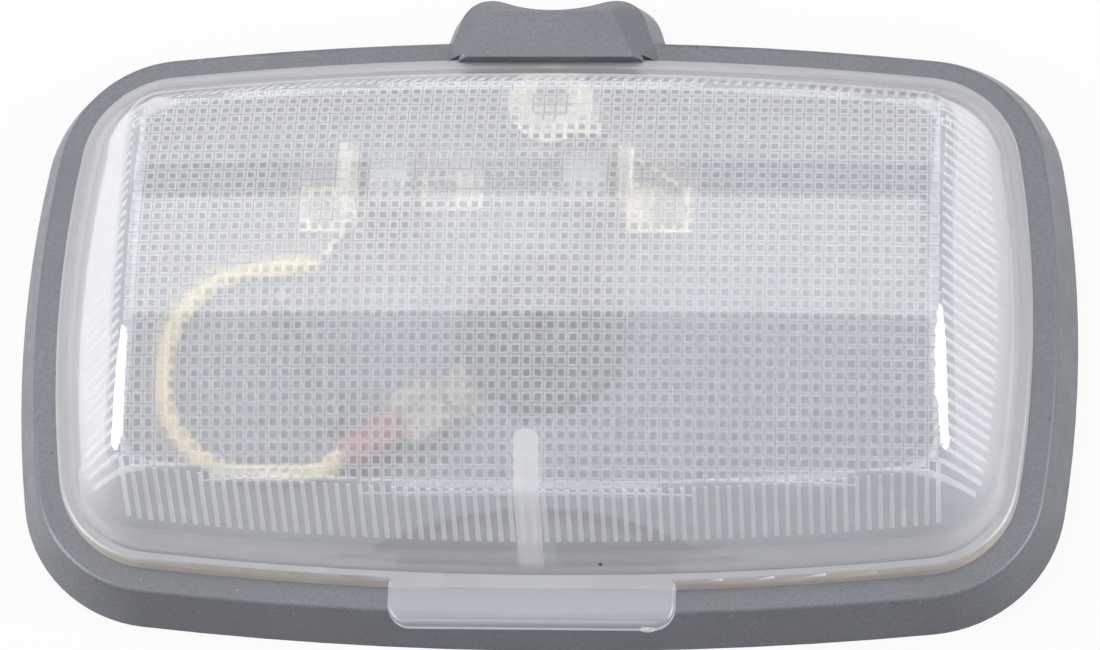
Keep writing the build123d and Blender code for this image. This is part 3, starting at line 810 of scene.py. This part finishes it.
class DOME_OT_lens_fin(bpy.types.Operator):
    """Builds the pale root of the fin behind the pull tab, and the moulding flash on the tab"""

    bl_idname = "dome.lens_fin"
    bl_label = "Lens fin"

    def execute(self, context):
        scene = context.scene
        lens = scene.dome_lens
        depth = lens.pattern_depth - 1.5 * lens.cell_depth
        rounded_share, tip_width = 0.08, 0.4

        def place(across, out):
            return across, -out

        def width_at(share):
            rounding = min(share / rounded_share, 1.0)
            fullness = math.sqrt(rounding * (2 - rounding))
            return lens.fin_width * (tip_width + (1 - tip_width) * fullness)

        def is_above_foot(out):
            return skin_at(lens, 0, -out, depth) > lens.fin_foot_z

        foot = turning_point(0, lens.half_width, is_above_foot)
        mesh = bmesh.new()
        add_strip(mesh, lens, depth, place, width_at, lens.fin_reach, foot, FIN_ROWS)
        thicken(mesh, lens.cell_depth)
        root = prism_finish("fin_root", scene.dome_colours.prism, scene.dome_clearness.fin)
        new_piece("fin_root", mesh, [root], "lens_body")
        flash = bmesh.new()
        bmesh.ops.create_icosphere(flash, subdivisions=3, radius=1.0)
        bmesh.ops.scale(flash, vec=lens.flash_size, verts=flash.verts)
        bmesh.ops.translate(flash, vec=lens.flash_place, verts=flash.verts)
        new_piece("tab_flash", flash, [root], "lens_body")
        return {"FINISHED"}


class DOME_OT_bulb(bpy.types.Operator):
    """Finishes the festoon bulb"""

    bl_idname = "dome.bulb"
    bl_label = "Bulb"

    def execute(self, context):
        nickel = metal_finish("nickel_plate", (0.40, 0.40, 0.41), 0.45)
        dress("bulb_cap_left", nickel)
        dress("bulb_cap_right", nickel)
        dress("bulb_glass", glass_finish())
        dress("bulb_filament", metal_finish("drawn_wire", (0.35, 0.35, 0.36), 0.35))
        return {"FINISHED"}


class DOME_OT_electrics(bpy.types.Operator):
    """Finishes the contacts, eyelet, rivets, terminal and wire"""

    bl_idname = "dome.electrics"
    bl_label = "Contacts and wire"

    def execute(self, context):
        colours = context.scene.dome_colours
        brass = brass_finish(colours.brass)
        for node in ("contact_left", "contact_right", "fixing_eyelet"):
            dress(node, brass)
        tarnish = metal_finish("tarnished_brass", shade(colours.brass, 0.4), 0.5)
        for node in ("rivets", "feed_blade", "spade_terminal"):
            dress(node, tarnish)
        dress("feed_wire", soft_finish("yellow_sheath", colours.sheath, 0.6, 0.15))
        dress("spade_sleeve", soft_finish("red_sleeve", colours.sleeve, 0.6, 0.15))
        dress("cable_grommet", soft_finish("black_rubber", colours.rubber, 0.6, 0.35))
        dress("wire_core", metal_finish("bare_copper", (0.62, 0.52, 0.42), 0.45))
        dress("solder_bead", metal_finish("solder", (0.60, 0.61, 0.62), 0.4))
        return {"FINISHED"}


class DOME_OT_stage(bpy.types.Operator):
    """Sets up the floor, the softboxes, the room and the camera"""

    bl_idname = "dome.stage"
    bl_label = "Studio"

    def execute(self, context):
        stage = context.scene.dome_stage
        self.floor()
        self.softbox(
            "overhead", place=(-0.10, 0.47, 1.0), back=(0, 0, 1), shape="RECTANGLE",
            size=(1.5, 0.70), radiance=stage.overhead, in_gloss=False)
        self.softbox(
            "window_card", place=(-0.13, 0.447, 0.95), back=(0, 0, 1), shape="RECTANGLE",
            size=(0.50, 0.665), radiance=stage.window_card, in_gloss=True)
        self.softbox(
            "back_card", place=(0.0, 1.0, 0.55), back=(0, 1, 0), shape="RECTANGLE",
            size=(2.4, 0.60), radiance=stage.back_card, in_gloss=True)
        self.softbox(
            "front_fill", place=(0.0, -1.0, 0.5), back=(0, -1.0, 0.5), shape="RECTANGLE",
            size=(1.6, 0.6), radiance=stage.front_fill, in_gloss=False)
        for side in (-1, 1):
            fill_place = (0.97 * side, 0.05, 0.22)
            self.softbox(
                "end_fill", place=fill_place, back=fill_place, shape="ELLIPSE",
                size=(0.50, 0.90), radiance=stage.end_fill * (1.0 - 0.15 * side), in_gloss=False)
            card_place = (0.70 * side, 0.06 * side - 0.13, 0.65)
            self.softbox(
                "end_card", place=card_place, back=card_place, shape="ELLIPSE",
                size=(0.56, 0.95), radiance=stage.end_card, in_gloss=True)
        self.room(context.scene, stage.ambient)
        self.camera(context.scene, stage)
        context.scene.view_settings.view_transform = "Standard"
        context.scene.cycles.transparent_max_bounces = 32
        context.scene.cycles.caustics_reflective = False
        return {"FINISHED"}

    def floor(self):
        """Pale floor that the camera sees as nearly white, and plain paper under the lamp."""
        half_size = 2.0
        under_x, under_y = 0.80 * cad_box[1][0], 0.82 * abs(cad_box[0][1])
        mesh = bmesh.new()
        made = bmesh.ops.create_grid(mesh, x_segments=3, y_segments=3, size=half_size)
        for vert in made["verts"]:
            if abs(vert.co.x) < half_size / 2:
                vert.co.x = math.copysign(under_x, vert.co.x)
            if abs(vert.co.y) < half_size / 2:
                vert.co.y = math.copysign(under_y, vert.co.y)
        for face in mesh.faces:
            face.material_index = int(face.calc_center_median().length < under_y)
        data = bpy.data.meshes.new("floor")
        mesh.to_mesh(data)
        mesh.free()
        floor = bpy.data.objects.new("floor", data)
        bpy.context.scene.collection.objects.link(floor)
        data.materials.append(self.pale("pale_floor", 0.9))
        data.materials.append(self.pale("floor_under_lamp", 0.0))

    def pale(self, name, whiteness):
        """Pale matt paper; whiteness is the share of plain white that the camera sees on it."""
        finish = Finish(name, (0.86, 0.86, 0.86), 0.9)
        cloud = finish.range(finish.noise(6, 3), 0.3, 0.7, 0.0, 1.0)
        finish.paint(finish.tint(None, cloud, (0.84, 0.84, 0.85)))
        white = finish.node("ShaderNodeEmission", Strength=1.0)
        white.inputs["Color"].default_value = (1, 1, 1, 1)
        share = finish.range(self.seen(finish.tree), 0.0, 1.0, 0.0, whiteness)
        finish.show(finish.blend(share, finish.shader, white))
        return finish.material

    def seen(self, tree):
        """1 for what the camera sees, straight, in gloss or through glass."""
        path = tree.nodes.new("ShaderNodeLightPath")
        first = tree.nodes.new("ShaderNodeMath")
        first.operation = "MAXIMUM"
        both = tree.nodes.new("ShaderNodeMath")
        both.operation = "MAXIMUM"
        tree.links.new(path.outputs["Is Camera Ray"], first.inputs[0])
        tree.links.new(path.outputs["Is Glossy Ray"], first.inputs[1])
        tree.links.new(first.outputs["Value"], both.inputs[0])
        tree.links.new(path.outputs["Is Transmission Ray"], both.inputs[1])
        return both.outputs["Value"]

    def softbox(self, name, place, back, shape, size, radiance, in_gloss):
        """Area lamp turned away from back; it is seen in gloss alone, or else lights all but gloss."""
        lamp = bpy.data.lights.new(name, "AREA")
        lamp.shape = shape
        lamp.size, lamp.size_y = size
        filled = math.pi / 4 if shape == "ELLIPSE" else 1.0
        lamp.energy = radiance * math.pi * size[0] * size[1] * filled
        box = bpy.data.objects.new(name, lamp)
        box.location = place
        box.rotation_euler = Vector(back).to_track_quat("Z", "Y").to_euler()
        box.visible_glossy = in_gloss
        box.visible_diffuse = not in_gloss
        bpy.context.scene.collection.objects.link(box)

    def room(self, scene, ambient):
        """White to the camera and in gloss, softer as a lamp."""
        world = bpy.data.worlds.new("studio")
        world.use_nodes = True
        scene.world = world
        tree = world.node_tree
        background = tree.nodes["Background"]
        background.inputs["Color"].default_value = (1, 1, 1, 1)
        strength = tree.nodes.new("ShaderNodeMapRange")
        strength.inputs["To Min"].default_value = ambient
        strength.inputs["To Max"].default_value = 1.0
        tree.links.new(self.seen(tree), strength.inputs["Value"])
        tree.links.new(strength.outputs["Result"], background.inputs["Strength"])

    def camera(self, scene, stage):
        """Camera at the photograph's angle."""
        data = bpy.data.cameras.new("camera")
        data.lens = stage.camera_lens
        data.sensor_width = 36.0
        data.clip_start = 0.01
        camera = bpy.data.objects.new("camera", data)
        camera.location = stage.camera_place
        camera.rotation_euler = Euler(stage.camera_turn, "XYZ")
        scene.collection.objects.link(camera)
        scene.camera = camera


OPERATORS = (
    DOME_OT_housing, DOME_OT_lens_shell, DOME_OT_prism_cells, DOME_OT_wall_flutes, DOME_OT_frosted_lining,
    DOME_OT_lens_fin, DOME_OT_bulb, DOME_OT_electrics, DOME_OT_stage,
)


class DOME_PT_panel(bpy.types.Panel):
    """Lists the lamp's pieces and their sizes"""

    bl_idname = "DOME_PT_panel"
    bl_label = "Dome light"
    bl_space_type = "VIEW_3D"
    bl_region_type = "UI"
    bl_category = "Dome light"

    def draw(self, context):
        layout = self.layout
        for operator in OPERATORS:
            layout.operator(operator.bl_idname)
        scene = context.scene
        for group in (scene.dome_lens, scene.dome_clearness, scene.dome_colours, scene.dome_stage):
            for name in group.__annotations__:
                layout.prop(group, name)


CLASSES = (DomeLens, DomeClearness, DomeColours, DomeStage, *OPERATORS, DOME_PT_panel)


def register():
    for cls in CLASSES:
        bpy.utils.register_class(cls)
    bpy.types.Scene.dome_lens = PointerProperty(type=DomeLens)
    bpy.types.Scene.dome_clearness = PointerProperty(type=DomeClearness)
    bpy.types.Scene.dome_colours = PointerProperty(type=DomeColours)
    bpy.types.Scene.dome_stage = PointerProperty(type=DomeStage)


def unregister():
    del bpy.types.Scene.dome_stage
    del bpy.types.Scene.dome_colours
    del bpy.types.Scene.dome_clearness
    del bpy.types.Scene.dome_lens
    for cls in reversed(CLASSES):
        bpy.utils.unregister_class(cls)


def main():
    register()
    bpy.ops.dome.housing()
    bpy.ops.dome.lens_shell()
    bpy.ops.dome.prism_cells()
    bpy.ops.dome.wall_flutes()
    bpy.ops.dome.frosted_lining()
    bpy.ops.dome.lens_fin()
    bpy.ops.dome.bulb()
    bpy.ops.dome.electrics()
    bpy.ops.dome.stage()


if __name__ == "__main__":
    main()
